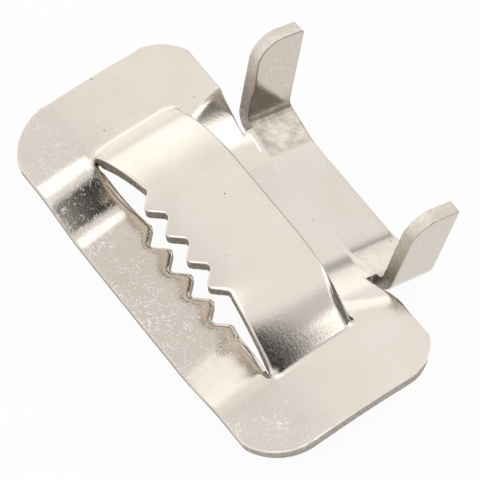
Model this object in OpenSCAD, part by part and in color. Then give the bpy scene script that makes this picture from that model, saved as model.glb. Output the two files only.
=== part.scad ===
// Strapping buckle: one stainless pressing, arched, lanced and folded, all sizes in millimetres.
// The band runs over the front rail, under the bridge, over the rear rail and out between the ears.

/* [Sheet] */
// thickness of the sheet
sheet_t = 1.3; // [1:0.05:1.6]
// overall length from end to end
plate_len = 41; // [39:0.5:46]
// front edge of the end plates, measured along the arch from its crown
plate_front = 11.5; // [10.5:0.1:13]
// rear edge of the end plates, measured along the arch from its crown
plate_rear = 7.9; // [7.2:0.1:8.6]
// radius of the arch
crown_r = 60; // [45:1:90]
// radius of the front corners
front_corner_r = 5.4; // [4.5:0.1:6]
// distance from the front edge to the centre of the front corners
front_corner_set = 5.1; // [4:0.1:5.3]
// radius of the rear corners
rear_corner_r = 4.3; // [3.6:0.1:5]
// distance from the rear edge to the centre of the rear corners
rear_corner_set = 4; // [3:0.1:4.2]

/* [Bridge] */
// rise of the bridge above the end plates
bridge_rise = 3.8; // [3:0.1:4.6]
// half the distance between the two feet of the bridge
bridge_foot = 14.25; // [13.6:0.05:15.4]
// slope of the bridge at its feet
bridge_angle = 37; // [32:1:44]
// inside radius of the fold at each foot
bridge_foot_r = 0.8; // [0.5:0.1:1.4]
// inside radius of the fold at each end of the top
bridge_top_r = 2.4; // [1.2:0.1:3.2]

/* [Front rail] */
// drop of the front rail below the end plates
rail_drop = 2.8; // [2:0.1:3.4]
// half the distance between the two ends of the front trough
rail_foot = 14.1; // [13.4:0.05:15]
// slope at the ends of the front rail
rail_angle = 25; // [21:1:30]
// inside radius of the folds at the ends of the front rail
rail_fold_r = 2.6; // [1.4:0.1:3.4]

/* [Rear rail] */
// slit between bridge and rear rail, measured along the arch from its crown
slit_at = 3.1; // [2.4:0.1:3.6]
// drop of the rear rail below the end plates at the slit
rear_drop = 2.05; // [1.7:0.05:2.5]
// fall of the rear rail towards the rear
rear_tilt = 18.8; // [15:0.2:22]
// half the length of the rear rail's flat
rear_flat = 7.45; // [6.9:0.05:7.9]
// slope at the ends of the rear rail
rear_angle = 27; // [24:1:31]
// inside radius of the folds at the ends of the rear rail
rear_fold_r = 1.8; // [1:0.1:2.4]

/* [Teeth] */
// pitch of the teeth
tooth_pitch = 3.13; // [2.8:0.01:3.4]
// depth from tip to root before rounding
tooth_depth = 1.6; // [1.2:0.02:1.9]
// tooth line in front of the crown, measured along the arch
tooth_at = 5.43; // [4.9:0.01:6]
// radius of the tips and roots
tooth_r = 0.35; // [0.2:0.05:0.45]
// teeth on the bridge
tooth_count = 4; // [2:1:4]
// half the length of the shear cuts
lance_half = 13; // [12.2:0.1:13.4]
// width of the shear cuts
lance_gap = 0.1; // [0.06:0.02:0.2]
// distance of the toothed cut's ends in front of the tooth line
lead_end = 0.3; // [0.1:0.05:0.5]

/* [Ears] */
// distance between the ears' inner faces at the rear rail
ear_span = 20; // [19.4:0.1:21.5]
// start of the ear strip, measured along the rear rail from the slit
ear_start = 5.8; // [5.4:0.1:6.6]
// width of the ear strip
ear_width = 5.05; // [4.4:0.05:6]
// height of the ears above the rear rail
ear_height = 10.85; // [8:0.05:12]
// lean of the ears' sides towards the front
ear_rake = 8; // [4:1:12]
// lean of the ears outwards
ear_out = 4; // [1:1:8]
// radius of an ear's front top corner
ear_top_r = 2.3; // [1.2:0.1:3]
// radius of an ear's rear tip
ear_tip_r = 0.4; // [0.2:0.05:0.8]
// inside radius of the ear folds
ear_fold_r = 0.9; // [0.6:0.1:1.3]

/* [Hidden] */
$fn = 96;

half_len = plate_len / 2;
deg = 180 / PI;
far = 60;
// arcs of folds and corners run this much past their tangent lines, so each meets its flats cleanly
ease = 0.0005;
// overlap of the strips where the shear cuts have ended
joint = 0.02;
// rough lengths run this far past the cuts that end them
overrun = 4;
// the toothed cut leaves its last tips a little below their tops and runs straight to its ends
lead_dip = 0.03;
lead_top = tooth_depth / 2 - tooth_r / cos(atan2(2 * tooth_depth, tooth_pitch)) + tooth_r - lead_dip;

// points of the section across the buckle: [y, z] at arch distance s and height n over the end plates
function arch_a(s) = s / crown_r * deg;
function arch_y(s, n) = (crown_r + n) * sin(arch_a(s));
function arch_z(s, n) = (crown_r + n) * cos(arch_a(s)) - crown_r;

// length of the straight slope between two folds, and the run of the whole step
function slope_len(step, radii, a) = (step - radii * (1 - cos(a))) / sin(a);
function step_run(step, radii, a) = radii * sin(a) + slope_len(step, radii, a) * cos(a);

// point at distance r and angle a from c
function polar(c, r, a) = [c[0] + r * cos(a), c[1] + r * sin(a)];
// corner of a fold before rounding, on its inside (k = 0) or its outside (k = 1)
function knee(c, r, a0, a1, k) = polar(c, (r + k * sheet_t) / cos((a1 - a0) / 2), (a0 + a1) / 2);
// the same points on the other side of the middle, in reverse order
function flip(p) = [for (i = [len(p) - 1 : -1 : 0]) [-p[i][0], p[i][1]]];
function turn(p) = [for (i = [len(p) - 1 : -1 : 0]) p[i]];

bridge_flat = bridge_foot - step_run(bridge_rise, bridge_foot_r + bridge_top_r + sheet_t, bridge_angle);
rail_flat = rail_foot - step_run(rail_drop, 2 * rail_fold_r + sheet_t, rail_angle);

// rear rail: a tilted frame that starts at the slit, v along the rail to the rear and n above it
slit_y = arch_y(slit_at, 0);
slit_z = arch_z(slit_at, 0) - rear_drop;
function rear_y(v, n) = slit_y + v * cos(rear_tilt) + n * sin(rear_tilt);
function rear_z(v, n) = slit_z - v * sin(rear_tilt) + n * cos(rear_tilt);
// height of the end plates' rear edge above the rear rail, and where the rail's slope reaches it
edge_n = (arch_y(plate_rear, 0) - slit_y) * sin(rear_tilt)
    + (arch_z(plate_rear, 0) - slit_z) * cos(rear_tilt);
rear_knee = rear_flat + rear_fold_r * tan(rear_angle / 2);
rear_foot = rear_knee + edge_n / tan(rear_angle);
// point on the rail's slope, m along it from its knee and d below its top
function slope_pt(m, d) = [
    rear_knee + m * cos(rear_angle) + d * sin(rear_angle),
    m * sin(rear_angle) - d * cos(rear_angle)
];

// the end plates start outside all the folds
plate_in = max(bridge_foot, rail_foot, rear_foot + 0.35) + 0.1;

// ear fold: where the slope of the rear rail turns up into the ear
ear_end = ear_start + ear_width;
ear_turn = 90 - ear_out - rear_angle;
ear_meet = (ear_span / 2 - rear_knee) * cos(ear_out) / cos(rear_angle + ear_out);
ear_slope = ear_meet - ear_fold_r * tan(ear_turn / 2);
fold_c = slope_pt(ear_slope, -ear_fold_r);
// the strip joins the ear over the stretch of slope between these two marks, and is relieved outside
slope_from = rear_fold_r * tan(rear_angle / 2);
join_m = slope_from + 0.3 * (ear_slope - slope_from);
relief_m = slope_from + 0.65 * (ear_slope - slope_from);

// rest pose: the lower front edge and the lower rear edge stand on one level
foot_fy = arch_y(-plate_front, -rail_drop - sheet_t);
foot_fz = arch_z(-plate_front, -rail_drop - sheet_t);
rest_a = atan2(foot_fz - rear_z(ear_end, -sheet_t), rear_y(ear_end, -sheet_t) - foot_fy);
function rest_y(y, z) = y * cos(rest_a) - z * sin(rest_a);
function rest_z(y, z) = y * sin(rest_a) + z * cos(rest_a);
tip_n = ear_height - ear_tip_r;
tip_v = ear_end - tip_n * tan(ear_rake) - ear_tip_r / cos(ear_rake);
y_min = rest_y(arch_y(-plate_front, 0), arch_z(-plate_front, 0));
y_max = rest_y(rear_y(tip_v, tip_n), rear_z(tip_v, tip_n)) + ear_tip_r;
base_z = rest_z(foot_fy, foot_fz);

// sweep a section drawn in (x, n) along the whole arch
module arch_sweep() {
    a0 = arch_a(-plate_front);
    a1 = arch_a(plate_rear + 1.5);
    translate([0, 0, -crown_r])
        rotate([0, -90, 0])
            rotate([0, 0, a0])
                rotate_extrude(angle = a1 - a0, $fn = 240)
                    translate([crown_r, 0])
                        rotate(-90)
                            children();
}

// everything behind the arch distance s (side = 1) or in front of it (side = 0)
module beyond(s, side) {
    translate([0, 0, -crown_r])
        rotate([-arch_a(s), 0, 0])
            translate([-far, (side - 1) * far, 0])
                cube([2 * far, far, 2 * far]);
}

// the tilted frame of the rear rail
module rear_frame() {
    translate([0, slit_y, slit_z])
        rotate([-rear_tilt, 0, 0])
            children();
}

// a section drawn in (x, n) run along the rear rail from v0 to v1
module rear_run(v0, v1) {
    rear_frame()
        translate([0, v1, 0])
            rotate([90, 0, 0])
                linear_extrude(v1 - v0)
                    children();
}

module both() {
    children();
    mirror([1, 0])
        children();
}

// sector between two angles, out to radius k
module sector(k, a0, a1) {
    polygon([[0, 0], polar([0, 0], k, a0), polar([0, 0], k / cos((a1 - a0) / 2), (a0 + a1) / 2),
        polar([0, 0], k, a1)]);
}

// what a corner with centre c loses when it is rounded to radius r
module corner_trim(c, r, a0, a1) {
    translate(c)
        difference() {
            sector(2 * r, a0, a1);
            circle(r + ease);
        }
}

// what the inside of a fold gains when it is rounded to radius r
module fold_fill(c, r, a0, a1) {
    translate(c)
        difference() {
            sector(r + 0.6 * sheet_t, a0, a1);
            circle(r + ease);
        }
}

// bridge section: steps up to the middle
module bridge_section() {
    ct = [bridge_flat, bridge_rise - sheet_t - bridge_top_r];
    cf = [bridge_foot, bridge_foot_r];
    t0 = 90 - bridge_angle;
    f0 = 270 - bridge_angle;
    top = [knee(ct, bridge_top_r, t0, 90, 1), knee(cf, bridge_foot_r, f0, 270, 0), [plate_in + 1, 0]];
    low = [
        knee(ct, bridge_top_r, t0, 90, 0),
        knee(cf, bridge_foot_r, f0, 270, 1),
        [plate_in + 1, -sheet_t]
    ];
    difference() {
        union() {
            polygon(concat(flip(top), top, turn(low), turn(flip(low))));
            both() {
                fold_fill(ct, bridge_top_r, t0, 90);
                fold_fill(cf, bridge_foot_r, f0, 270);
            }
        }
        both() {
            corner_trim(ct, bridge_top_r + sheet_t, t0, 90);
            corner_trim(cf, bridge_foot_r + sheet_t, f0, 270);
        }
    }
}

// front rail section: steps down to the middle
module rail_section() {
    cm = [rail_flat, rail_fold_r - rail_drop];
    cf = [rail_foot, -sheet_t - rail_fold_r];
    m1 = 270 + rail_angle;
    f1 = 90 + rail_angle;
    top = [knee(cm, rail_fold_r, 270, m1, 0), knee(cf, rail_fold_r, 90, f1, 1), [plate_in + 1, 0]];
    low = [knee(cm, rail_fold_r, 270, m1, 1), knee(cf, rail_fold_r, 90, f1, 0), [plate_in + 1, -sheet_t]];
    difference() {
        union() {
            polygon(concat(flip(top), top, turn(low), turn(flip(low))));
            both() {
                fold_fill(cm, rail_fold_r, 270, m1);
                fold_fill(cf, rail_fold_r, 90, f1);
            }
        }
        both() {
            corner_trim(cm, rail_fold_r + sheet_t, 270, m1);
            corner_trim(cf, rail_fold_r + sheet_t, 90, f1);
        }
    }
}

// rear rail section in its tilted frame: flat, fold and slope, out to the last slope marks given
module rear_section(marks) {
    c = [rear_flat, rear_fold_r];
    a1 = 270 + rear_angle;
    top = concat([[rear_knee, 0]], [for (m = marks) slope_pt(m, 0)]);
    low = concat([knee(c, rear_fold_r, 270, a1, 1)], [for (m = marks) slope_pt(m, sheet_t)]);
    difference() {
        union() {
            polygon(concat(flip(top), top, turn(low), turn(flip(low))));
            both()
                fold_fill(c, rear_fold_r, 270, a1);
        }
        both()
            corner_trim(c, rear_fold_r + sheet_t, 270, a1);
    }
}

// ear section: the end of the slope, the fold and the upright ear
module ear_section() {
    a0 = rear_angle - 90;
    a1 = a0 + ear_turn;
    rise = 2 * ear_height;
    inner = polar(fold_c, ear_fold_r, a1) + rise * [sin(ear_out), cos(ear_out)];
    outer = polar(fold_c, ear_fold_r + sheet_t, a1) + rise * [sin(ear_out), cos(ear_out)];
    difference() {
        union() {
            polygon([slope_pt(join_m, 0), slope_pt(relief_m, 0), knee(fold_c, ear_fold_r, a0, a1, 0), inner,
                outer, knee(fold_c, ear_fold_r, a0, a1, 1),
                slope_pt(relief_m, sheet_t), slope_pt(join_m, sheet_t)]);
            fold_fill(fold_c, ear_fold_r, a0, a1);
        }
        corner_trim(fold_c, ear_fold_r + sheet_t, a0, a1);
    }
}

// outline of an ear seen from the end, in (v, n)
module ear_outline() {
    lean = ear_height * tan(ear_rake);
    top_n = ear_height - ear_top_r;
    top_v = ear_start - top_n * tan(ear_rake) + ear_top_r / cos(ear_rake);
    difference() {
        polygon([[ear_start, -far], [ear_start, 0], [ear_start - lean, ear_height],
            [ear_end - lean, ear_height], [ear_end, 0], [ear_end, -far]]);
        corner_trim([top_v, top_n], ear_top_r, 90, 180 + ear_rake);
        corner_trim([tip_v, tip_n], ear_tip_r, ear_rake, 90);
    }
}

// one rounded tooth: base on the line y = 0, tip towards minus y
module tooth() {
    w = tooth_pitch / 4;
    d = tooth_depth / 2;
    a = atan2(d, w);
    c = tooth_r / cos(a) - d;
    tx = tooth_r * sin(a);
    ty = c - tooth_r * cos(a);
    polygon([[-w, 0], [-tx, ty], [tx, ty], [w, 0], [w / 2, d / 2], [-w / 2, d / 2]]);
    translate([0, c])
        circle(tooth_r + ease);
}

// plan of everything behind the tooth line
module behind_teeth() {
    last = tooth_count / 2 * tooth_pitch;
    difference() {
        union() {
            polygon([[-far, -lead_end], [-lance_half, -lead_end], [-last, lead_top],
                [last, lead_top], [lance_half, -lead_end], [far, -lead_end], [far, far], [-far, far]]);
            translate([-last, 0])
                square([2 * last, tooth_depth]);
            for (i = [0 : tooth_count - 1])
                translate([(i - (tooth_count - 1) / 2) * tooth_pitch, 0])
                    tooth();
        }
        for (i = [0 : tooth_count])
            translate([(i - tooth_count / 2) * tooth_pitch, 0])
                mirror([0, 1])
                    tooth();
    }
}

// a plan set on the tooth line and run square through the arched sheet
module through_sheet() {
    translate([0, 0, -crown_r])
        rotate([arch_a(tooth_at), 0, 0])
            linear_extrude(2 * far)
                children();
}

// what the plan of the end plates loses at its four corners
module plan_corner(r, set, edge) {
    difference() {
        translate([half_len - r, edge - set])
            square([2 * r, 2 * r]);
        translate([half_len - r, edge - set])
            circle(r + ease);
    }
}

module plan_corners() {
    translate([0, 0, -far / 2])
        linear_extrude(far)
            both() {
                plan_corner(rear_corner_r, rear_corner_set, arch_y(plate_rear, 0));
                mirror([0, 1])
                    plan_corner(front_corner_r, front_corner_set, arch_y(plate_front, 0));
            }
}

// a flat of the sheet on both sides, from x0 to x1
module flats(x0, x1) {
    both()
        translate([x0, -sheet_t])
            square([x1 - x0, sheet_t]);
}

// front rail with its row of teeth
module front_rail() {
    difference() {
        arch_sweep()
            rail_section();
        through_sheet()
            behind_teeth();
    }
}

// bridge with the matching row of teeth, joined to both rails where the shear cuts have ended
module bridge() {
    difference() {
        intersection() {
            arch_sweep()
                bridge_section();
            through_sheet()
                union() {
                    translate([0, lance_gap])
                        behind_teeth();
                    both()
                        translate([lance_half, -lead_end - joint])
                            square([far, far]);
                }
        }
        beyond(slit_at + joint, 1);
        translate([0, 0, -crown_r])
            rotate([-arch_a(slit_at), 0, 0])
                translate([-lance_half, -lance_gap, 0])
                    cube([2 * lance_half, far, 2 * far]);
    }
}

// rear rail between the end plates, mitred into them along its slopes
module rear_rail() {
    out_m = (plate_in + 3 - rear_knee) / cos(rear_angle);
    mid_m = slope_pt(out_m, sheet_t / 2);
    difference() {
        union() {
            intersection() {
                arch_sweep()
                    translate([-plate_in - 1, -far / 3])
                        square([2 * plate_in + 2, far / 3]);
                rear_run(-overrun, ear_end)
                    rear_section([join_m, relief_m, out_m]);
            }
            difference() {
                arch_sweep()
                    flats(rear_flat - 1, plate_in + 1);
                rear_run(-overrun, ear_end + overrun)
                    polygon([[-mid_m[0], mid_m[1]], [sheet_t / 2 - rear_flat, -sheet_t / 2],
                        [rear_flat - sheet_t / 2, -sheet_t / 2], mid_m,
                        [mid_m[0], far / 2], [-mid_m[0], far / 2]]);
            }
        }
        beyond(slit_at, 0);
    }
}

// strip behind the end plates that carries the ears, and the ears folded up from it
module ears() {
    rear_run(plate_rear - slit_at - 1.5, ear_end)
        rear_section([join_m, relief_m]);
    intersection() {
        rear_run(-overrun, ear_end + overrun)
            both()
                ear_section();
        rear_frame()
            rotate([90, 0, 90])
                translate([0, 0, -far / 2])
                    linear_extrude(far)
                        ear_outline();
    }
}

module buckle() {
    color([0.78, 0.75, 0.71])
        translate([0, -(y_min + y_max) / 2, -base_z])
            rotate([rest_a, 0, 0])
                union() {
                    difference() {
                        union() {
                            arch_sweep()
                                flats(plate_in, half_len);
                            front_rail();
                            bridge();
                            rear_rail();
                        }
                        beyond(plate_rear, 1);
                        plan_corners();
                    }
                    ears();
                }
}

buckle();
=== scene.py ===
# %% [markdown]
# # A strapping buckle, pressed from one sheet
# The buckle is a single piece of stainless sheet. A press arches it, cuts it along a zig-zag and a straight
# line, lifts the strip between the cuts into a bridge, pushes the strips beside it down into two rails,
# and folds two ears up behind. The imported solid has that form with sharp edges. This file makes the same
# form as one smooth sheet with rolled and sheared edges, and gives it its steel. The solid is loaded first,
# because it sets the box that the sheet has to keep.

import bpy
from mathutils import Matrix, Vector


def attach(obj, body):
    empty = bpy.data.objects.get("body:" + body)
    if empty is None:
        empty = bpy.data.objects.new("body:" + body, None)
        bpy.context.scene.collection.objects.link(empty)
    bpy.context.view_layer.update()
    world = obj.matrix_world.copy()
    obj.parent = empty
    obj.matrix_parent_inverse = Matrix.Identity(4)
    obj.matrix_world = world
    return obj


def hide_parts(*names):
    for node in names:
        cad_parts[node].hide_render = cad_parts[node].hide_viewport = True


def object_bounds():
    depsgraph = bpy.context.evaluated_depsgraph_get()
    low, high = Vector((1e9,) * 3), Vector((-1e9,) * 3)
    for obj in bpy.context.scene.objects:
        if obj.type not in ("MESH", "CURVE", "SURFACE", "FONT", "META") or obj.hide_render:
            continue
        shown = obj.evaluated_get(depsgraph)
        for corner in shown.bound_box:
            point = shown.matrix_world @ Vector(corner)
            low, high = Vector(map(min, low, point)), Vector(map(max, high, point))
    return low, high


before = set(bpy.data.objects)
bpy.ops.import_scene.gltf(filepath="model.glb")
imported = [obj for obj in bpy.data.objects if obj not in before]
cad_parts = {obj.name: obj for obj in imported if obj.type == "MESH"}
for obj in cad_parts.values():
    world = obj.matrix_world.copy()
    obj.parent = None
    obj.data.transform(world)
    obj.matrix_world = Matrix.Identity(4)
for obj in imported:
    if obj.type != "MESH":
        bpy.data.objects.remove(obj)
cad_low, cad_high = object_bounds()
print("solid box, mm:", [round(1000 * v, 2) for v in (*cad_low, *cad_high)])

# %% Tools
import math

import bpy
import numpy as np

# %% [markdown]
# ## Sizes
# All sizes are in millimetres, and most are the numbers that drive the solid. x runs along the length, s
# along the arch from its crown, and n stands off the end plates. The arch is a cylinder about the x axis. A
# press never leaves two ends alike, so bridge and front rail have one value for the left end and one for
# the right.

# %% Sizes of the sheet
sheet_t = 1.3
half_len = 20.5
plate_front, plate_rear, crown_r = 11.5, 7.9, 60.0
front_corner_r, front_corner_set = 5.4, 5.1
rear_corner_r, rear_corner_set = 4.3, 4.0
plate_in = 14.36
lance_half, lance_gap, lead_end = 13.0, 0.1, 0.3

bridge = dict(foot=(14.3, 14.05), rise=3.8, angle=(36, 39), foot_r=(1.2, 1.0), top_r=(12.0, 11.5))
rail = dict(foot=(15.0, 14.1), rise=-2.8, angle=(36, 26), foot_r=(5.0, 3.5), top_r=(4.5, 2.6))
teeth = dict(pitch=3.13, depth=1.7, at=5.43, r=0.52, lead_dip=0.03)
rear = dict(slit=3.1, drop=2.05, tilt=18.8, flat=7.45, angle=27, fold_r=1.8)
ear = dict(span=20.0, start=5.8, width=5.05, height=10.85, rake=8, out=4, top_r=2.3, tip_r=0.4, fold_r=0.9)
print("sheet", sheet_t, "mm, length", 2 * half_len, "mm")

# %% [markdown]
# ## Section of bridge and front rail
# Seen from the front, each strip is a flat, a fold, a straight slope, a fold and another flat. Such a step
# could be modelled with extrusions and bevels, but a formula gives the exact arcs and can be tuned by its
# radii. The middle line of the sheet is enough, because the two skins are later set off from it by half the
# thickness.


# %% Middle line of a stepped strip
def stepped_line(x, foot, rise, angle, foot_r, top_r):
    """Height of the sheet's middle over x: level outside foot, then an arc, a straight slope at the angle and
    an arc that ends level again at the rise. Arcs have the fold radius plus half the sheet. Foot, angle and
    radii are given for the left end and for the right."""
    a, foot = np.radians(np.where(x < 0, *angle)), np.where(x < 0, *foot)
    r0, r1 = np.where(x < 0, *foot_r) + sheet_t / 2, np.where(x < 0, *top_r) + sheet_t / 2
    x, side = np.abs(x), math.copysign(1, rise)
    run = (abs(rise) - (r0 + r1) * (1 - np.cos(a))) / np.tan(a)
    flat = foot - (r0 + r1) * np.sin(a) - run
    outer = r0 - np.sqrt(np.clip(r0**2 - (foot - x) ** 2, 0, None))
    slope = r0 * (1 - np.cos(a)) + (foot - r0 * np.sin(a) - x) * np.tan(a)
    inner = abs(rise) - r1 + np.sqrt(np.clip(r1**2 - (x - flat) ** 2, 0, None))
    n = np.select(
        [x >= foot, x >= foot - r0 * np.sin(a), x >= flat + r1 * np.sin(a), x >= flat],
        [0 * x, outer, slope, inner],
        abs(rise),
    )
    return side * n - sheet_t / 2


centre = np.array([0.0])
print("bridge middle", stepped_line(centre, **bridge), "rail middle", stepped_line(centre, **rail))

# %% [markdown]
# ## Section of the rear rail
# The rear rail has no sharp folds. Between the end plates the steel swells up softly, and before the ears the
# bending tool has pressed it into two flat pads. A parabola and a straight slope with a soft crease say that
# with a few numbers each, in the rail's own tilted frame.

# %% Middle lines of the rear rail
swell_from, swell_r = 5.6, 10.0
pad_from, pad_slope, crease_softness = 6.2, 0.2593, 0.5
pad_sink = 0.02


def rear_line(x):
    """Height over the rear rail: flat in the middle, then rising outwards on a parabola."""
    return np.clip(np.abs(x) - swell_from, 0, None) ** 2 / (2 * swell_r) - sheet_t / 2


def pad_line(x):
    """Height over the pads: half of d plus the root of d squared and the softness, times the slope, where d
    is the distance outside the crease. That is level inside the crease and a straight slope outside it."""
    d = np.abs(x) - pad_from
    return pad_slope * 0.5 * (d + np.sqrt(d**2 + crease_softness)) - pad_slope * pad_sink - sheet_t / 2


print("rear rail rises", (rear_line(np.array([9.0, 13.0])) + sheet_t / 2).round(2), "mm at x 9 and 13")

# %% [markdown]
# ## Toothed cut
# The teeth bite into the band and keep it from slipping back. One cut makes both rows, so the teeth of the
# bridge are the gaps of the rail. A boolean with a zig-zag cutter would leave slivers in a curved sheet. Here
# the cut is a line, and the grids on both sides simply end on it.


# %% Zig-zag of the toothed cut
def zigzag(x):
    """Distance of the cut from its straight line: a triangle wave whose tips and roots are rounded by an arc
    tangent to both flanks. Beyond the last tips it runs straight, and a little forward, to its ends."""
    p, d, r = teeth["pitch"], teeth["depth"] / 2, teeth["r"]
    a = math.atan2(d, p / 4)
    u = np.abs(x) / p
    from_tip = np.abs(u - np.round(u)) * p
    side = np.where(from_tip < p / 4, 1.0, -1.0)
    delta = np.where(from_tip < p / 4, from_tip, p / 2 - from_tip)
    round_tip = d - r / math.cos(a) + np.sqrt(np.clip(r**2 - delta**2, 0, None))
    flank = d - delta * math.tan(a)
    wave = side * np.where(delta < r * math.sin(a), round_tip, flank)
    last, lead_top = 2 * p, d - r / math.cos(a) + r - teeth["lead_dip"]
    lead = np.interp(np.abs(x), [last, lance_half], [lead_top, -lead_end])
    joined_wave = np.where(np.abs(x) > last, np.maximum(wave, lead), wave)
    return np.where(np.abs(x) > last + p / 4, lead, joined_wave)


sample = zigzag(np.linspace(-8, 8, 2001))
print("teeth from", round(sample.min(), 2), "to", round(sample.max(), 2), "mm about the cut line")

# %% [markdown]
# ## Columns and rows
# Every strip is a grid. Columns run across at fixed x and all strips share them, so the strips can be welded
# where the sheet is whole and left apart along the cuts. Columns are close at the teeth and at the round
# corners, and rows are close at every edge, where the steel rolls over.

# %% Shared columns and row spacing
teeth_half, plate_next = 7.6, 14.75
teeth_step, slope_step, foot_step, row_step, corner_points = 0.1, 0.2, 0.17, 0.32, 27
corner_turn = np.radians(np.linspace(0, 90, corner_points))
half_columns = np.concatenate([
    np.arange(0, teeth_half, teeth_step),
    np.arange(teeth_half, lance_half, slope_step),
    np.arange(lance_half, plate_in, foot_step),
    [plate_in, plate_next],
    half_len - front_corner_r + front_corner_r * np.sin(corner_turn),
])
columns = np.unique(np.round(np.concatenate([-half_columns, half_columns]), 5))
whole = np.abs(columns) >= lance_half - 1e-6
near_edge = np.array([0, 0.05, 0.12, 0.21, 0.33, 0.48, 0.68, 0.95])
rail_width, bridge_width, rear_width, ear_width = 6.1, 8.5, 4.8, 5.0


def rows(width):
    """Shares of a strip's width: close rows at both edges and even ones between."""
    middle_count = max(3, round(width / row_step))
    between_edges = np.linspace(near_edge[-1], width - near_edge[-1], middle_count)[1:-1]
    return np.concatenate([near_edge, between_edges, (width - near_edge)[::-1]]) / width


print(len(columns), "columns,", int(whole.sum()), "of them in the end plates")

# %% [markdown]
# ## Front rail and bridge
# Both strips follow the arch, so each point is a place along the arch and a height above it. The corners of
# the end plates are arcs of a circle. The two sides of a cut stand a tenth of a millimetre apart, because two
# surfaces in the same place would flicker, and the gap closes towards the ends of the cut.


# %% Points on the arch and the outline of the end plates
def on_arch(x, s, n):
    """Point at arch distance s and height n: a circle of radius crown_r + n about the x axis."""
    a = s / crown_r
    return np.stack([x + 0 * s, (crown_r + n) * np.sin(a), (crown_r + n) * np.cos(a) - crown_r], -1)


def corner_line(r, setting, edge):
    """Distance of the outline from the crown over x: the straight edge, cut by the circle of the corner."""
    x = np.clip(np.abs(columns) - (half_len - r), 0, r)
    y = edge - setting + np.sqrt(np.clip(r**2 - x**2, 0, None))
    return np.minimum(y, edge)


front_y = crown_r * math.sin(plate_front / crown_r)
back_y = crown_r * math.sin(plate_rear / crown_r)
front_edge = -crown_r * np.arcsin(corner_line(front_corner_r, front_corner_set, front_y) / crown_r)
print("front edge at s", round(float(front_edge.min()), 2), "mm")

# %% Grids of front rail and bridge along the arch
gap_close = 0.8
ease_out = np.clip((lance_half - np.abs(columns)) / gap_close, 0, 1)
rail_n, bridge_n = stepped_line(columns, **rail), stepped_line(columns, **bridge)
cut_front = -teeth["at"] + zigzag(columns) * crown_r / (crown_r + rail_n)
cut_back = -teeth["at"] + zigzag(columns) * crown_r / (crown_r + bridge_n) + lance_gap * ease_out
slit_front = rear["slit"] - lance_gap * ease_out

rail_rows, bridge_rows = rows(rail_width), rows(bridge_width)
rail_s = front_edge + (cut_front - front_edge) * rail_rows[:, None]
bridge_s = cut_back + (slit_front - cut_back) * bridge_rows[:, None]
print("front rail rows", len(rail_rows), "bridge rows", len(bridge_rows))

# %% [markdown]
# ## Rear rail
# Behind the slit the sheet is a tilted plane that runs into the end plates. The lower of the two surfaces
# counts, with a soft change-over, because the real fold there is rounded. It is softer at the right end. The
# rear edge of the plates is cut square to the arch, so its place depends on the height and is found in a few
# steps.

# %% Rear rail between the end plates
tilt = math.radians(rear["tilt"])
slit_y = crown_r * math.sin(rear["slit"] / crown_r)
slit_z = crown_r * math.cos(rear["slit"] / crown_r) - crown_r - rear["drop"]
fold_softness = (0.25, 0.8)


def rear_height(x, y):
    """Height of the sheet's middle behind the slit: the lower of the arched plate and the tilted rail, joined
    over a short soft stretch."""
    plate = np.sqrt((crown_r - sheet_t / 2) ** 2 - y**2) - crown_r
    trough = slit_z - (y - slit_y) * math.tan(tilt) + rear_line(x) / math.cos(tilt)
    soft = np.where(x < 0, *fold_softness)
    h = np.clip(0.5 + 0.5 * (trough - plate) / soft, 0, 1)
    return trough * (1 - h) + plate * h - soft * h * (1 - h)


def cut_square(s):
    """Where a cut square to the arch at distance s meets the sheet: y = (z + crown_r) tan(s / crown_r)."""
    y = np.full(len(columns), crown_r * math.sin(s / crown_r))
    for _ in range(4):
        y = (rear_height(columns, y) + crown_r) * math.tan(s / crown_r)
    return y


rear_edge = np.minimum(cut_square(plate_rear), corner_line(rear_corner_r, rear_corner_set, back_y))
slit_edge = cut_square(rear["slit"])
rear_rows = rows(rear_width)
rear_y = slit_edge + (rear_edge - slit_edge) * rear_rows[:, None]
rear_x = np.broadcast_to(columns, rear_y.shape)
rear_z = rear_height(rear_x, rear_y)
print("rear rail grid", rear_z.shape)

# %% [markdown]
# ## Ends of the cuts
# Where a cut ends, the strips beside it are still at different heights. The steel there is drawn from one to
# the other, so both strips lean towards a height in between, over about a millimetre. The right end of the
# front rail also leans a little along its width, as the punch left it, which turns its reflection.

# %% Heights at the ends of the cuts
end_reach = 0.6
beyond = np.clip((np.abs(columns) - lance_half + end_reach) / end_reach, 0, 1) ** 2


def drawn(gap, distance, reach):
    """Share of the height gap that a strip takes up: all of it at the cut, none at the reach, a parabola
    between, and only beyond the end of the cut."""
    return gap * beyond * np.clip(1 - distance / reach, 0, 1) ** 2


def smooth(t):
    """Soft step: three times t squared, less twice t cubed."""
    return t * t * (3 - 2 * t)


lean_slope, lean_about, lean_from, lean_to = 0.08, -8.5, (7.0, 9.5), (10.4, 13.4)
tooth_share, bridge_share, rear_share = 0.5, 0.6, 0.4
draw_reach, slit_reach = 1.0, 1.2
lean = lean_slope * smooth(np.interp(columns, lean_from, (0, 1)) * np.interp(columns, lean_to, (1, 0)))
rear_n = np.hypot(rear_y[0], rear_z[0] + crown_r) - crown_r
tooth_gap, slit_gap = bridge_n - rail_n, bridge_n - rear_n
rail_high = rail_n + lean * (rail_s - lean_about)
rail_high = rail_high + drawn(tooth_share * tooth_gap, cut_front - rail_s, draw_reach)
bridge_high = bridge_n - drawn(tooth_share * tooth_gap, bridge_s - cut_back, draw_reach)
bridge_high = bridge_high - drawn(bridge_share * slit_gap, slit_front - bridge_s, slit_reach)
rear_high = rear_z + drawn(rear_share * slit_gap, rear_y - slit_edge, draw_reach)
rail_mid = on_arch(columns, rail_s, rail_high)
bridge_mid = on_arch(columns, bridge_s, bridge_high)
rear_mid = np.stack([rear_x, rear_y, rear_high], -1)
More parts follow.
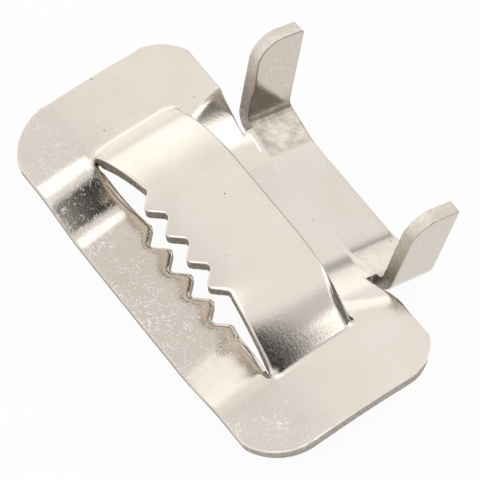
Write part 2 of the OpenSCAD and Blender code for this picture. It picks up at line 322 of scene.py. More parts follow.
print("steps at the ends of the cuts", tooth_gap[whole].max().round(2), slit_gap[whole].max().round(2), "mm")

# %% [markdown]
# ## Ears
# The ears are hammered over the band when it is tight. Behind the end plates the rail goes on as a strip
# whose ends turn up into the ears, so this strip is a profile, flat, slope, arc and upright, carried from
# front to rear. That keeps the fold round and the sheet equally thick, which two separate plates would not.

# %% Profile of the ear strip
out = math.radians(ear["out"])
rear_a = math.radians(rear["angle"])
knee = rear["flat"] + rear["fold_r"] * math.tan(rear_a / 2)
turn = math.pi / 2 - out - rear_a
meet = (ear["span"] / 2 - knee) * math.cos(out) / math.cos(rear_a + out)
slope_end = meet - ear["fold_r"] * math.tan(turn / 2)
slope_from = rear["fold_r"] * math.tan(rear_a / 2)
relief_share = 0.65
ramp_points, fold_points, rise_points, top_points = 6, 15, 26, 17
relief = slope_from + relief_share * (slope_end - slope_from)


def slope_point(m, depth):
    """Point m along the rail's slope from its knee, and depth below its top."""
    m = np.asarray(m, float)
    return np.stack([knee + m * math.cos(rear_a) + depth * math.sin(rear_a),
                     m * math.sin(rear_a) - depth * math.cos(rear_a)], -1)


fold_centre = slope_point(slope_end, -ear["fold_r"])
fold_turn = rear_a - math.pi / 2 + np.linspace(0, turn, fold_points)[1:]
fold_line = fold_centre + (ear["fold_r"] + sheet_t / 2) * np.stack([np.cos(fold_turn), np.sin(fold_turn)], -1)
top_n = ear["height"] - ear["top_r"]
rise_n = np.concatenate([
    np.linspace(fold_line[-1, 1], top_n, rise_points)[1:],
    top_n + ear["top_r"] * np.sin(np.radians(np.linspace(0, 90, top_points)))[1:],
])
rise_x = fold_line[-1, 0] + (rise_n - fold_line[-1, 1]) * math.tan(out)
ramp_x = slope_point(np.linspace(relief, slope_end, ramp_points), sheet_t / 2)[:, 0]
ramp_line = np.stack([ramp_x, pad_line(ramp_x)], -1)
ear_line = np.concatenate([ramp_line, fold_line, np.stack([rise_x, rise_n], -1)])
print("one ear's profile has", len(ear_line), "points")

# %% Both ears with the flat between them
column_gap = 0.05
relief_x = float(ramp_x[0])
inner_columns = np.abs(columns) < relief_x - column_gap
strip_x = np.concatenate([-ear_line[::-1, 0], columns[inner_columns], ear_line[:, 0]])
strip_n = np.concatenate([ear_line[::-1, 1], pad_line(columns[inner_columns]), ear_line[:, 1]])
joined = np.zeros(len(strip_x), bool)
joined[len(ear_line) - 1:len(strip_x) - len(ear_line) + 1] = True
print("ear strip profile of", len(strip_x), "points, relief at x", round(relief_x, 2))

# %% [markdown]
# ## Outline of the ears
# Seen from the side an ear leans forward a little, with a large round at the front of its top and a small one
# at the back. The outline says where each row of the strip starts and ends at each height, so the rounds need
# no cutting.

# %% Grid of the ears
rake = math.tan(math.radians(ear["rake"]))
rake_c = math.cos(math.radians(ear["rake"]))
above = np.clip(strip_n, 0, ear["height"])
ear_end = ear["start"] + ear["width"]


def rounded_side(base, way, r):
    """Side of an ear over its height: a raked straight line, closed at the top by an arc of radius r."""
    line = base - above * rake
    centre_n = ear["height"] - r
    centre_v = base - centre_n * rake - way * r / rake_c
    arc = centre_v + way * np.sqrt(np.clip(r**2 - (above - centre_n) ** 2, 0, None))
    arc_from = centre_n + r * math.sin(math.radians(way * ear["rake"]))
    return np.where(above > arc_from, arc, line)


def in_tilted_frame(x, v, n):
    """Point of the rear rail's own frame, v along it to the rear and n off it, turned down by the tilt."""
    return np.stack([x + 0 * v, slit_y + v * math.cos(tilt) + n * math.sin(tilt),
                     slit_z - v * math.sin(tilt) + n * math.cos(tilt)], -1)


ear_front = rounded_side(ear["start"], -1, ear["top_r"])
ear_back = rounded_side(ear_end, 1, ear["tip_r"])
ear_rows = rows(ear_width)
strip_v = ear_front + (ear_back - ear_front) * ear_rows[:, None]
ear_mid = in_tilted_frame(strip_x, strip_v, strip_n)
print("ear grid", ear_mid.shape[:2], "ear top", round(float(strip_n.max()), 2), "mm above the rail")

# %% [markdown]
# ## Neck
# Between the rear rail and the ear strip the section changes from the soft swelling to the flat pads. The
# neck is a grid that blends the two sections over its last half, which leaves the small step that the
# bending tool presses in.

# %% Neck between the end plates and the ear strip
neck_x = strip_x[joined]
neck_edge = np.interp(neck_x, columns, rear_edge)
neck_count, step_from, step_width = 15, 0.55, 0.4
neck_rows = np.linspace(0, 1, neck_count)[:, None]
step = smooth(np.clip((neck_rows - step_from) / step_width, 0, 1))
neck_n = rear_line(neck_x) * (1 - step) + pad_line(neck_x) * step
neck_from = (neck_edge - slit_y - rear_line(neck_x) * math.sin(tilt)) / math.cos(tilt)
neck_mid = in_tilted_frame(neck_x, neck_from + (ear["start"] - neck_from) * neck_rows, neck_n)
print("neck grid", neck_mid.shape[:2])

# %% [markdown]
# ## One welded sheet
# The grids become one surface. Shared points get one number, so the sheet is whole in the end plates and
# behind the rear rail, and stays open along the cuts. Merging by distance would also close the cuts, so the
# numbers are shared by row and column instead.

# %% Number the points and weld the strips
grids = [rail_mid, bridge_mid, rear_mid, neck_mid, ear_mid]
starts = np.cumsum([0] + [g.shape[0] * g.shape[1] for g in grids])
ids = [start + np.arange(g.shape[0] * g.shape[1]).reshape(g.shape[:2]) for start, g in zip(starts, grids)]
rail_id, bridge_id, rear_id, neck_id, ear_id = ids
bridge_id[0, whole] = rail_id[-1, whole]
rear_id[0, whole] = bridge_id[-1, whole]
neck_id[0, 1:-1] = rear_id[-1, inner_columns]
ear_id[0, joined] = neck_id[-1]


def quads(grid):
    """Faces of a grid of point numbers, wound so that they face up."""
    return np.stack([grid[:-1, :-1], grid[:-1, 1:], grid[1:, 1:], grid[1:, :-1]], -1).reshape(-1, 4)


middle = np.concatenate([g.reshape(-1, 3) for g in grids])
faces = np.concatenate([quads(g) for g in ids])
used, faces = np.unique(faces, return_inverse=True)
faces = faces.reshape(-1, 4)
middle = middle[used]
print(len(middle), "points and", len(faces), "faces in the middle surface")

# %% [markdown]
# A side with only one face beside it is an edge of the sheet. Counting the sides finds the outline and both
# cuts at once, without any list of edges to keep in step with the shape.

# %% Find the edges of the sheet
sides = np.concatenate([faces[:, [k, (k + 1) % 4]] for k in range(4)])
key = np.sort(sides, 1) @ np.array([len(middle), 1])
_, first, count = np.unique(key, return_index=True, return_counts=True)
border = sides[first[count == 1]]
rim = np.unique(border)
print(len(border), "border sides")

# %% [markdown]
# ## Rolled edges
# A shear rolls the steel over at the side where the tool enters. The roll is real shape: near an edge the
# skin drops along a parabola. A bevel would give every edge the same round, but here the roll is widest on
# the teeth of the front rail, which was pushed down, and narrow on the outline.

# %% Kinds of edge: outline, teeth of the rail, bridge, rear side of the slit
edge_kind = np.zeros(starts[-1], int)
edge_kind[rail_id[-1]] = 1
edge_kind[bridge_id[0, ~whole]] = 2
edge_kind[bridge_id[-1, ~whole]] = 2
edge_kind[rear_id[0, ~whole]] = 3
rim_kind = edge_kind[used][rim]
roll_width = np.array([0.20, 0.65, 0.24, 0.6])
roll_depth = np.array([0.04, 0.28, 0.05, 0.16])
cut_fade, block_count = 1.0, 60
rim_fade = np.where(rim_kind > 0, np.clip((plate_in - np.abs(middle[rim, 0])) / cut_fade, 0, 1), 1.0)


def nearest_rim(points):
    """Distance to the nearest edge point, and which one it is, worked out in blocks of points."""
    blocks = np.array_split(points, block_count)
    found = [np.linalg.norm(block[:, None] - middle[rim][None], axis=2) for block in blocks]
    return np.concatenate([f.min(1) for f in found]), np.concatenate([f.argmin(1) for f in found])


to_edge, which = nearest_rim(middle)
print("edge points of each kind", np.bincount(rim_kind))

# %% [markdown]
# At the right end of the slit the bridge's edge is curled down further, where it was torn free last. The
# drop grows along x there. The lower skin gets only a slight round, because that side of a sheared edge
# stays sharp.

# %% Drop of the skins near the edges
curl_from, curl_length, curl_depth = 8.5, 2.5, 0.29
curl_width, curl_widening = 0.35, 0.65
low_roll_width, low_roll_depth, slit_shade_width = 0.2, 0.05, 0.14
kind_there, fade_there = rim_kind[which], rim_fade[which]
by_slit = middle[rim[which], 1] > 0
curl = (kind_there == 2) * by_slit * np.clip((middle[:, 0] - curl_from) / curl_length, 0, 1)
width_there = np.where(curl > 0, curl_width + curl_widening * curl, roll_width[kind_there])
share = np.clip(1 - to_edge / width_there, 0, 1) ** 2 * fade_there
top_drop = share * (roll_depth[kind_there] + curl_depth * curl)
low_drop = np.clip(1 - to_edge / low_roll_width, 0, 1) ** 2 * low_roll_depth * fade_there
# A thin dark line along both edges of the slit is painted shade in the gap between bridge and rear rail.
slit_shade_line = (kind_there >= 2) * by_slit * np.clip(1 - to_edge / slit_shade_width, 0, 1) * fade_there
print("rolled edge points", int((share > 0).sum()))

# %% [markdown]
# ## Two skins
# The sheet is as thick at a fold as on a flat, so both skins stand off the middle along its normal. Blender's
# Solidify would do this too, but then the rolled edges couldn't differ between the skins. A point's normal is
# the sum of the cross products of its faces' diagonals, which weighs large faces more.

# %% Normals of the middle surface and the skins
across = np.cross(middle[faces[:, 2]] - middle[faces[:, 0]], middle[faces[:, 3]] - middle[faces[:, 1]])
normal = np.zeros_like(middle)
for corner in range(4):
    np.add.at(normal, faces[:, corner], across)
normal /= np.linalg.norm(normal, axis=1, keepdims=True)
top_skin = middle + normal * (sheet_t / 2 - top_drop)[:, None]
low_skin = middle - normal * (sheet_t / 2 - low_drop)[:, None]
print("mean upward share of the normals", round(float(normal[:, 2].mean()), 3))

# %% [markdown]
# ## Sheared walls
# A wall joins the skins along every edge. It has rings of points between them, close to each skin, so that
# the wall stays flat in the shading and can change its colour with depth.

# %% Walls between the skins
wall_depth = np.array([0.03, 0.2, 0.4, 0.6, 0.8, 0.97])
count_mid, count_rim = len(middle), len(rim)
walls = [top_skin[rim] * (1 - d) + low_skin[rim] * d for d in wall_depth]
points = np.concatenate([top_skin, low_skin, *walls])
own = np.arange(count_mid)
rim_number = np.full(count_mid, -1)
rim_number[rim] = np.arange(count_rim)
first_ring = 2 * count_mid + rim_number
ring = np.stack([own, *(first_ring + k * count_rim for k in range(len(wall_depth))), own + count_mid])
begin, end = border.T
wall_faces = np.stack([ring[:-1, end], ring[:-1, begin], ring[1:, begin], ring[1:, end]], -1).reshape(-1, 4)
all_faces = np.concatenate([faces, faces[:, ::-1] + count_mid, wall_faces])
print(len(points), "points,", 2 * len(all_faces), "triangles")

# %% [markdown]
# ## Marks for the steel, and painted shade
# The finish isn't the same all over: the front rail is scuffed, the folds of the ears are dull, the pads are
# coined and the sheared walls are dark. Some marks also carry painted shade: the ears are painted darker
# above two millimetres and about their folds, their walls darker towards their feet, and a dark line runs
# along the slit. The mesh carries a number for each of these at every point, and the material reads them.
# Painted weights would do the same by hand, but these follow the shape by themselves.


# %% Helpers that spread values over the sheet
def over_strips(*values):
    """One value per sheet point from one array or number for each strip, in the order of the grids."""
    return np.concatenate([np.broadcast_to(v, g.shape[:2]).ravel() for v, g in zip(values, grids)])[used]


def over_ears(values, elsewhere=0.0):
    """One value per sheet point from values along the ear strip's profile, and one value for all the rest."""
    full = np.full(starts[-1], elsewhere)
    full[ear_id] = np.broadcast_to(values, ear_id.shape)
    return full[used]


def over_mesh(top, low, wall_rings):
    """One value per mesh point: those of the top skin, of the low skin, and of the wall's rings in turn."""
    rings = np.broadcast_to(wall_rings, (len(wall_depth), count_rim)).ravel()
    return np.concatenate([np.broadcast_to(top, count_mid), np.broadcast_to(low, count_mid), rings])


print("values for", count_mid, "points of each skin and", len(wall_depth), "rings of", count_rim)

# %% Where the steel is scuffed, dull, folded or coined, and where shade is painted on the ears
# The rail is scuffed in its middle and cleaner on its slopes. The ears are a little more scuffed from two
# millimetres up, and painted darker there, a painted shade for the darker reflection in their faces.
fold_n, fold_reach = 0.9, 2.6
coin_in, coin_blur, coin_top, coin_top_blur = 0.2, 0.5, 2.2, 0.8
left_coin, right_coin = 1.0, 0.3
plain_wear, ear_wear, plain_tone, ear_painted_shade = 0.2, 0.25, 0.09, 0.85
rail_wear = np.interp(columns, [-15, -10, 8, 11, 14, 17], [0.45, 1.0, 1.0, 0.3, 0.35, 0.8])
ear_strip_wear = np.interp(strip_n, [0, 2], [plain_wear, ear_wear])
wear_there = over_strips(rail_wear, plain_wear, plain_wear, plain_wear, ear_strip_wear)
rail_tone = np.interp(np.abs(columns), [10, 15], [0.5, 0.175])
# Painted shade: from two millimetres up the ears' tone is a darker grey for the darker things their faces
# mirror.
ear_strip_tone_and_shade = np.interp(strip_n, [0, 2], [plain_tone, ear_painted_shade])
tone_and_shade_there = over_strips(rail_tone, plain_tone, plain_tone, plain_tone, ear_strip_tone_and_shade)
# About the ears' folds the steel is rougher and painted darker, a painted shade for the dark reflection
# there.
fold_and_shade_share = np.clip(1 - np.abs(strip_n - fold_n) / fold_reach, 0, 1)
fold_dull_and_shade_there = over_ears(fold_and_shade_share * (np.abs(strip_x) > relief_x))
coin_share = np.clip((np.abs(strip_x) - pad_from + coin_in) / coin_blur, 0, 1)
coin_share = coin_share * np.clip((coin_top - strip_n) / coin_top_blur, 0, 1)
coin_there = over_ears(coin_share * np.where(strip_x < 0, left_coin, right_coin))
print("coined points", int((coin_there > 0).sum()), "folded points", int((fold_dull_and_shade_there > 0).sum()))

# %% How dark the sheared walls and burrs are, with painted shade on the ears' walls and along the slit
# The right plate's wall is a little lighter than the left's. The ears' walls go from dark at their feet to
# light at their tops, which is painted shade.
right_plate_from, right_plate_cut, left_plate_cut = 15, 0.75, 0.95
ear_burr_from, ear_burr_width, low_burr = 0.5, 0.16, 0.6
ear_high = over_ears(strip_n, -1.0)
ear_edge = (ear_high > ear_burr_from) * np.clip(1 - to_edge / ear_burr_width, 0, 1)
plate_cut = np.where(middle[rim, 0] > right_plate_from, right_plate_cut, left_plate_cut)
ear_wall_shade = np.interp(ear_high[rim], [2, 8], [0.8, 0.0])
outline_dark_and_shade = np.where(ear_high[rim] > 0, ear_wall_shade, plate_cut)
marks = dict(
    wall=over_mesh(0.0, 0.0, 1.0),
    depth=over_mesh(0.0, 1.0, wall_depth[:, None]),
    # on the ears' walls this darkness fades upwards, a painted shade
    cut=over_mesh(0.0, 0.0, np.where(rim_kind > 0, 1.0, outline_dark_and_shade)),
    # on the ears this tone is painted shade
    tone_and_painted_shade=over_mesh(tone_and_shade_there, tone_and_shade_there, tone_and_shade_there[rim]),
    wear=over_mesh(wear_there, wear_there, wear_there[rim]),
    # rougher folds, whose darker grey is painted shade
    fold_dull_and_shade=over_mesh(fold_dull_and_shade_there, 0.0, 0.0),
    # the ears' burr, and painted shade along the slit
    burr_and_slit_shade=over_mesh(np.maximum(slit_shade_line, ear_edge), low_burr * ear_edge, 0.0),
    coin=over_mesh(coin_there, 0.0, 0.0),
)
print("means of the marks", {name: round(float(values.mean()), 3) for name, values in marks.items()})

# %% [markdown]
# ## Rest pose
# The buckle stands on the lower edge of its front rail and the rear edge of its ear strip, so the whole form
# is turned a few degrees about x and moved to the middle of its box. The points are turned, not the object,
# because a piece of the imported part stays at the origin.

# %% Turn into the rest pose
foot_a = -plate_front / crown_r
foot_n = crown_r + rail["rise"] - sheet_t
foot_y, foot_z = foot_n * math.sin(foot_a), foot_n * math.cos(foot_a) - crown_r
heel_y = slit_y + ear_end * math.cos(tilt) - sheet_t * math.sin(tilt)
heel_z = slit_z - ear_end * math.sin(tilt) - sheet_t * math.cos(tilt)
rest_a = math.atan2(foot_z - heel_z, heel_y - foot_y)
rest_c, rest_s = math.cos(rest_a), math.sin(rest_a)
turn_x = np.array([[1, 0, 0], [0, rest_c, -rest_s], [0, rest_s, rest_c]])
front_drop = crown_r * math.cos(plate_front / crown_r) - crown_r
shift_y = 1000 * cad_low[1] + front_y * rest_c + front_drop * rest_s
shift_z = -(foot_y * rest_s + foot_z * rest_c)
rested = (points @ turn_x.T + [0, shift_y, shift_z]) / 1000
print("rest turn", round(math.degrees(rest_a), 3), "shift", round(shift_y, 3), round(shift_z, 3))

# %% Make the mesh
# Edges that turn more than the angle stay sharp in the shading, so the rim of a wall shows as a line.
sharp_angle = 38
mesh = bpy.data.meshes.new("buckle_sheet")
mesh.from_pydata(rested.tolist(), [], all_faces.tolist())
for name, values in marks.items():
    mesh.attributes.new(name, "FLOAT", "POINT").data.foreach_set("value", values.astype(np.float32))
mesh.shade_smooth()
mesh.set_sharp_from_angle(angle=math.radians(sharp_angle))
mesh.update()
buckle_sheet = bpy.data.objects.new("buckle_sheet", mesh)
bpy.context.scene.collection.objects.link(buckle_sheet)
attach(buckle_sheet, "root")
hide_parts("buckle")
print("buckle_sheet with", len(mesh.polygons), "faces")

# %% [markdown]
# ## Steel
# Mill-finished stainless sheet is a rather matt grey mirror with a warm cast. Handling leaves fine bright
# scratches in all directions, and the sheared walls are darker and rougher than the skins. All of it is made
# of nodes, so it stays sharp at any distance and needs no picture. One function turns colours to linear
# light and one adds a node.


# %% Colour and node helpers
def linear(hex_colour):
    """sRGB hex to linear red, green, blue and alpha."""
    c = np.array([int(hex_colour[k:k + 2], 16) for k in (1, 3, 5)]) / 255
    c = np.where(c <= 0.04045, c / 12.92, ((c + 0.055) / 1.055) ** 2.4)
    return (*map(float, c), 1.0)


def node(tree, kind, inputs=None, out=0, **settings):
    """Adds a node, sets its settings, sets or links its inputs, and gives one output, or the node if out is
    None."""
    made = tree.nodes.new(kind)
    for name, value in settings.items():
        setattr(made, name, value)
    for name, value in (inputs or {}).items():
        if isinstance(value, bpy.types.NodeSocket):
            tree.links.new(value, made.inputs[name])
        else:
            made.inputs[name].default_value = value
    return made if out is None else made.outputs[out]


print("pale steel", [round(v, 3) for v in linear("#DCD4CA")])

# %% Mill-finished stainless steel
# The rolling mill leaves a fine even grain. Shearing leaves a burnished upper band and a torn lower one.
steel = bpy.data.materials.new("mill_finish_stainless_steel")
steel.use_nodes = True
tree = steel.node_tree
tree.nodes.clear()
place = node(tree, "ShaderNodeTexCoord", out="Object")
mm = node(tree, "ShaderNodeVectorMath", {0: place, 1: (1000, 1000, 1000)}, operation="MULTIPLY")
mark = {name: node(tree, "ShaderNodeAttribute", out="Fac", attribute_name=name) for name in marks}
print("marks on the mesh:", list(mark))

# %% [markdown]
# ## Patches of many sizes
# Nothing on real steel is perfectly even. Each unevenness is a noise whose patches have a size in
# millimetres: the mill's grain, wide clouds, the worn areas, the patches on the coined pads, the patches of
# painted shade on the folds, and the torn grain of the sheared walls. The grain is drawn about ten times
# coarser than it is, or it would vanish in the picture.

# %% Noise of each size
# Size of the patches in millimetres, then how much fine detail the noise has and how strong that is.
patch_size = dict(
    grain=(0.22, 4.0, 0.7),
    cloud=(4.5, 3.0, 0.6),
    fleck=(0.16, 2.0, 0.5),
    worn=(3.5, 2.0, 0.6),
    coined=(1.4, 4.0, 0.65),
    dented=(0.5, 4.0, 0.6),
    folded=(0.9, 3.0, 0.6),
    torn=(0.3, 4.0, 0.7),
    bright=(0.28, 3.0, 0.7),
)
noise = {
    name: node(tree, "ShaderNodeTexNoise", {"Vector": mm, "Scale": 1 / size, "Detail": detail,
                                            "Roughness": rough})
    for name, (size, detail, rough) in patch_size.items()
}
# Part of the noise that counts, and the values that it is carried to.
patch_range = dict(
    grain=(0.3, 0.7, 0.08, 0.17),
    fleck=(0.64, 0.70, 0.0, 0.8),
    worn=(0.36, 0.60, 0.0, 1.0),
    coined=(0.36, 0.64, 0.0, 0.9),
    folded=(0.35, 0.60, 0.1, 0.55),
    torn=(0.35, 0.65, 0.0, 1.0),
    bright=(0.50, 0.66, 0.0, 0.5),
)
patch = {
    name: node(tree, "ShaderNodeMapRange", {"Value": noise[name], "From Min": low, "From Max": high,
                                            "To Min": least, "To Max": most})
    for name, (low, high, least, most) in patch_range.items()
}
print(len(noise), "noises,", len(patch), "of them cut to a range")

# %% [markdown]
# ## Scratches
# Loose buckles rub in the box, so the low front rail is covered in short fine scratches that run all ways.
# Each set of scratches is a noise stretched along one direction and cut off high, so only thin lines stay.
# They are drawn about twice as wide as real ones, or they would vanish between the pixels.

# %% Four sets of scratches and the flecks between them
# Direction in degrees, length and width in millimetres, and the height of the noise where a line begins.
scratch_sets = ((20, 0.55, 0.15, 0.70), (75, 0.5, 0.14, 0.70), (130, 0.7, 0.14, 0.71),
                (165, 0.45, 0.16, 0.71))
line_edge = 0.06
scratch = patch["fleck"]
for angle, length, width, cut in scratch_sets:
    turned = node(tree, "ShaderNodeMapping", {"Vector": mm, "Rotation": (0, 0, math.radians(angle))})
    stretch = (1 / length, 1 / width, 1 / length)
    stretched = node(tree, "ShaderNodeVectorMath", {0: turned, 1: stretch}, operation="MULTIPLY")
    streak = node(tree, "ShaderNodeTexNoise", {"Vector": stretched, "Scale": 1.0, "Detail": 0.0,
                                               "Roughness": 0.4})
    line = node(tree, "ShaderNodeMapRange", {"Value": streak, "From Min": cut, "From Max": cut + line_edge})
    scratch = node(tree, "ShaderNodeMath", {0: scratch, 1: line}, operation="MAXIMUM")
worn = node(tree, "ShaderNodeMath", {0: patch["worn"], 1: mark["wear"]}, operation="MULTIPLY")
scratch = node(tree, "ShaderNodeMath", {0: scratch, 1: worn}, operation="MULTIPLY")
print(len(scratch_sets), "sets of scratches")

# %% [markdown]
# ## Pits
# A few dark pits and many faint specks lie scattered on the sheet, where dirt was rolled in. Voronoi cells
# scatter them: each cell has a random colour, and only cells with a high value get a small dark disc at their
# centre.

# %% Pits and specks
# Cells per millimetre, colour channel and its range for a chosen cell, radii of the disc in cells, strength.
pit_sets = ((0.6, "Red", 0.80, 0.82, 0.07, 0.04, 1.0), (1.5, "Green", 0.86, 0.90, 0.12, 0.06, 0.4))
pit = 0.0
for density, channel, few, all_of, outside, inside, strength in pit_sets:
    distance, colour = node(tree, "ShaderNodeTexVoronoi", {"Vector": mm, "Scale": density}, out=slice(0, 2))
    value = node(tree, "ShaderNodeSeparateColor", {0: colour}, out=channel)
    chosen = node(tree, "ShaderNodeMapRange", {"Value": value, "From Min": few, "From Max": all_of,
                                               "To Max": strength})
    disc = node(tree, "ShaderNodeMapRange", {"Value": distance, "From Min": outside, "From Max": inside})
    disc = node(tree, "ShaderNodeMath", {0: disc, 1: chosen}, operation="MULTIPLY")
    pit = node(tree, "ShaderNodeMath", {0: pit, 1: disc}, operation="MAXIMUM")
print("pits in one cell of five, specks in one of eight")

# %% [markdown]
# ## Colour
# A metal's colour is the colour of its reflection. The skin is a warm pale grey in soft clouds, and each
# trace of making or handling is a layer of another grey over it: dull areas, coined pads, scratches, pits,
# folds and the dark line that a burr leaves. Three layers are painted shade too: the darker grey of the ears
# above two millimetres and about their folds stands in for the darker things they mirror, and the dark line
# also runs along the slit as painted shade in the gap. The wall of a cut is burnished above and torn below,
# with bright specks.

# %% Greys of the skins
skin = node(tree, "ShaderNodeMix", {"Factor": noise["cloud"], "A": linear("#E0D7CC"), "B": linear("#F0E8DE")},
            out="Result", data_type="RGBA")
# Of these greys, the tone on the ears, the fold grey and the burr grey along the slit are painted shade.
for share_of, strength, grey in ((mark["tone_and_painted_shade"], 1.0, "#C6BCB0"), (mark["coin"], patch["coined"], "#B5AA9D"),
                                 (scratch, 0.8, "#FBF8F4"), (pit, 0.7, "#6E665C"),
                                 (mark["fold_dull_and_shade"], patch["folded"], "#8B8072"), (mark["burr_and_slit_shade"], 0.8, "#6F665B")):
    cover = node(tree, "ShaderNodeMath", {0: share_of, 1: strength}, operation="MULTIPLY")
    skin = node(tree, "ShaderNodeMix", {"Factor": cover, "A": skin, "B": linear(grey)}, out="Result",
                data_type="RGBA")
print("six greys over the pale skin")

# %% Greys of the sheared walls
# The burnished band ends at about a third of the depth, and from six tenths down the wall is all torn.
torn_below = node(tree, "ShaderNodeMapRange", {"Value": mark["depth"], "From Min": 0.3, "From Max": 0.6})
# On the ears' walls the cut mark fades towards their tops, so there this dark grey is painted shade.
wall_dark_and_shade = node(tree, "ShaderNodeMath", {0: mark["cut"], 1: 0.9}, operation="MULTIPLY")
sheared = linear("#F0E8DE")
for cover, grey in ((torn_below, "#E0D8CE"), (patch["torn"], "#D8CFC4"), (wall_dark_and_shade, "#776E62"),
                    (patch["bright"], "#EFE8DF")):
    sheared = node(tree, "ShaderNodeMix", {"Factor": cover, "A": sheared, "B": linear(grey)}, out="Result",
                   data_type="RGBA")
colour = node(tree, "ShaderNodeMix", {"Factor": mark["wall"], "A": skin, "B": sheared}, out="Result",
              data_type="RGBA")
print("four greys over the pale wall")

# %% [markdown]
# ## Gloss and relief
# Rolled stainless is smooth enough to mirror its surroundings softly. Scratches, folds and coined pads are
# rougher, and a sheared wall is the roughest. The grain, the scratches and the dents of the pads are too low
# to model, so a bump node turns the normal for them.

# %% Roughness, bump and shader
rough = patch["grain"]
for share_of, strength, operation in ((scratch, 0.6, "MAXIMUM"), (mark["fold_dull_and_shade"], 0.12, "ADD"),
                                      (mark["coin"], 0.16, "ADD"), (mark["wall"], 0.48, "MAXIMUM")):
    part = node(tree, "ShaderNodeMath", {0: share_of, 1: strength}, operation="MULTIPLY")
    rough = node(tree, "ShaderNodeMath", {0: rough, 1: part}, operation=operation)

dents = node(tree, "ShaderNodeMath", {0: noise["dented"], 1: mark["coin"]}, operation="MULTIPLY")
height = noise["grain"]
for relief_of, strength in ((scratch, -0.6), (dents, 8.0)):
    height = node(tree, "ShaderNodeMath", {0: relief_of, 1: strength, 2: height}, operation="MULTIPLY_ADD")
bump = node(tree, "ShaderNodeBump", {"Height": height, "Strength": 0.07, "Distance": 0.0001})
shader = node(tree, "ShaderNodeBsdfPrincipled", {"Base Color": colour, "Metallic": 1.0, "Roughness": rough,
                                                 "Normal": bump})
node(tree, "ShaderNodeOutputMaterial", {"Surface": shader}, out=None)
mesh.materials.append(steel)
print("steel nodes", len(tree.nodes))

# %% [markdown]
# ## Floor
# The buckle lies on a plain white floor, as on a light table. A lit floor would turn grey at the edges of the
# picture, so most of what is seen of it shines by itself, and a little of it takes the shadow.

# %% White floor
floor_half, self_lit = 2, 0.93
floor_corners = [(-floor_half, -floor_half, 0), (floor_half, -floor_half, 0), (floor_half, floor_half, 0),
                 (-floor_half, floor_half, 0)]
floor_mesh = bpy.data.meshes.new("floor")
floor_mesh.from_pydata(floor_corners, [], [(0, 1, 2, 3)])
floor = bpy.data.objects.new("floor", floor_mesh)
bpy.context.scene.collection.objects.link(floor)
floor_white = bpy.data.materials.new("white_floor")
floor_white.use_nodes = True
tree = floor_white.node_tree
tree.nodes.clear()
ray = node(tree, "ShaderNodeLightPath", out=None).outputs
seen = ray["Is Camera Ray"]
for other in ("Is Glossy Ray", "Is Transmission Ray"):
    seen = node(tree, "ShaderNodeMath", {0: seen, 1: ray[other]}, operation="MAXIMUM")
share_white = node(tree, "ShaderNodeMath", {0: seen, 1: self_lit}, operation="MULTIPLY")
plain = node(tree, "ShaderNodeBsdfDiffuse", {"Color": linear("#F4F4F4")})
white = node(tree, "ShaderNodeEmission", {"Color": (1, 1, 1, 1), "Strength": 1.0})
both = node(tree, "ShaderNodeMixShader", {0: share_white, 1: plain, 2: white})
node(tree, "ShaderNodeOutputMaterial", {"Surface": both}, out=None)
floor_mesh.materials.append(floor_white)
print("floor", 2 * floor_half, "m wide")

# %% [markdown]
# ## Light
# Steel shows only what it mirrors. A photographer lights it with a white tent, dark flags that give slopes a
# dark side, and bright cards that give folds a highlight. The world does the same: it is white all round,
# with soft dark and bright areas. Each is placed by mirroring the line of sight at the slope that should
# show it. Area lamps could do it too, but the steel would mirror their hard edges.

# %% White room
world = bpy.data.worlds.new("soft_room")
bpy.context.scene.world = world
world.use_nodes = True
tree = world.node_tree
tree.nodes.clear()
way = node(tree, "ShaderNodeTexCoord", out="Generated")
east, north, up = node(tree, "ShaderNodeSeparateXYZ", {0: way}, out=slice(0, 3))
# The large flag hangs askew: its long edges are turned a third from east about one point, its end by a half.
flag_turn, flag_about, end_turn = 0.33, 0.4, 0.5
turned_north = node(tree, "ShaderNodeMath", {0: east, 1: -flag_turn, 2: north}, operation="MULTIPLY_ADD")
slant = node(tree, "ShaderNodeMath", {0: turned_north, 1: flag_turn * flag_about}, operation="ADD")
corner_way = node(tree, "ShaderNodeMath", {0: north, 1: end_turn, 2: east}, operation="MULTIPLY_ADD")
print("room with", len(tree.nodes), "nodes for its directions")

# %% Flags and cards
# Strength of each flag, then its soft edges: the direction, where the edge begins and where it is complete.
flags = [
    (1.0, ((slant, 0.105, 0.068), (slant, -0.34, -0.07), (corner_way, 0.30, 0.53))),
    (0.3, ((east, 0.40, 0.52), (north, 0.46, 0.36), (up, 0.35, 0.5))),
    (0.85, ((up, 0.20, 0.28), (up, 0.45, 0.36), (north, 0.45, 0.62), (east, -0.45, -0.2))),
]
cards = []
# Round ones: the axis, the angles in degrees where they are full and where they end, and the strength.
round_flags = (((0.80, 0.58, 0.12), 8, 25, 0.85), ((0.35, 0.92, 0.15), 8, 20, 0.85),
               ((0.53, 0.69, 0.49), 5, 12, 0.9), ((-0.36, -0.06, 0.93), 4, 14, 0.12),
               ((-0.50, 0.75, 0.43), 3, 7.5, 0.6))
round_cards = (((-0.96, 0.27, 0.05), 10, 45, 0.35), ((0.30, 0.72, 0.63), 9, 19, 0.7),
               ((-0.02, -0.16, 0.99), 8, 15, 0.9), ((0.74, 0.345, 0.58), 3, 6.5, 1.6))
for areas, round_areas in ((flags, round_flags), (cards, round_cards)):
    for axis, full, none, strength in round_areas:
        unit = np.array(axis) / np.linalg.norm(axis)
        dot = node(tree, "ShaderNodeVectorMath", {0: way, 1: tuple(unit)}, out="Value",
                   operation="DOT_PRODUCT")
        areas.append((strength, ((dot, math.cos(math.radians(none)), math.cos(math.radians(full))),)))
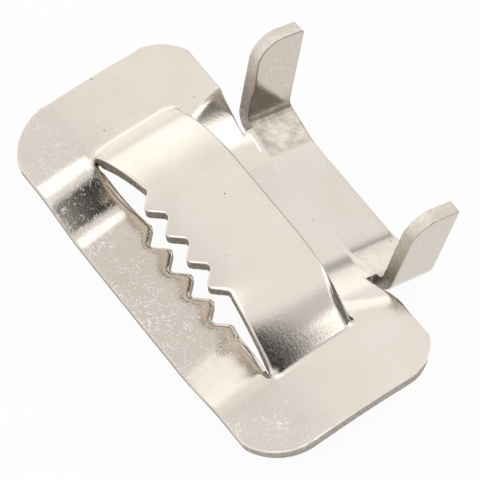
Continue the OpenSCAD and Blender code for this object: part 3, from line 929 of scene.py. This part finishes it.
print(len(flags), "flags and", len(cards), "cards")

# %% Sum of the room
# Cards add to the white of the room, and of several flags the darkest counts. The camera sees plain white.
light, shade, darkest = 1.0, 0.0, 0.97
for areas in (cards, flags):
    for strength, edges in areas:
        share_of = strength
        for value, begin_at, end_at in edges:
            span = {"Value": value, "From Min": begin_at, "From Max": end_at}
            edge = node(tree, "ShaderNodeMapRange", span, interpolation_type="SMOOTHSTEP")
            share_of = node(tree, "ShaderNodeMath", {0: edge, 1: share_of}, operation="MULTIPLY")
        if areas is cards:
            light = node(tree, "ShaderNodeMath", {0: share_of, 1: light}, operation="ADD")
        else:
            shade = node(tree, "ShaderNodeMath", {0: shade, 1: share_of}, operation="MAXIMUM")
left_over = node(tree, "ShaderNodeMath", {0: shade, 1: -darkest, 2: 1.0}, operation="MULTIPLY_ADD")
level = node(tree, "ShaderNodeMath", {0: light, 1: left_over}, operation="MULTIPLY")
to_camera = node(tree, "ShaderNodeLightPath", out="Is Camera Ray")
shown = node(tree, "ShaderNodeMix", {"Factor": to_camera, "A": level, "B": 1.0}, out="Result",
             data_type="FLOAT")
sky = node(tree, "ShaderNodeBackground", {"Color": (1, 1, 1, 1), "Strength": shown})
node(tree, "ShaderNodeOutputWorld", {"Surface": sky}, out=None)
print("room nodes", len(tree.nodes))

# %% [markdown]
# ## Camera
# The picture is taken from above the front right corner with a long lens, which keeps the far ear nearly as
# large as the near one. The place and turn come from matching the outline, the teeth and the ears to the
# photograph. The Standard view keeps the white floor white.

# %% Camera
camera = bpy.data.objects.new("camera", bpy.data.cameras.new("camera"))
bpy.context.scene.collection.objects.link(camera)
camera.data.sensor_width = 36
camera.data.lens = 288.77
camera.data.clip_start, camera.data.clip_end = 0.01, 10
camera.location = (0.133468, -0.125712, 0.291488)
camera.rotation_euler = tuple(math.radians(v) for v in (32.1416, -4.3787, 53.8750))
bpy.context.scene.camera = camera
bpy.context.scene.view_settings.view_transform = "Standard"
print("camera", [round(v, 3) for v in camera.location])
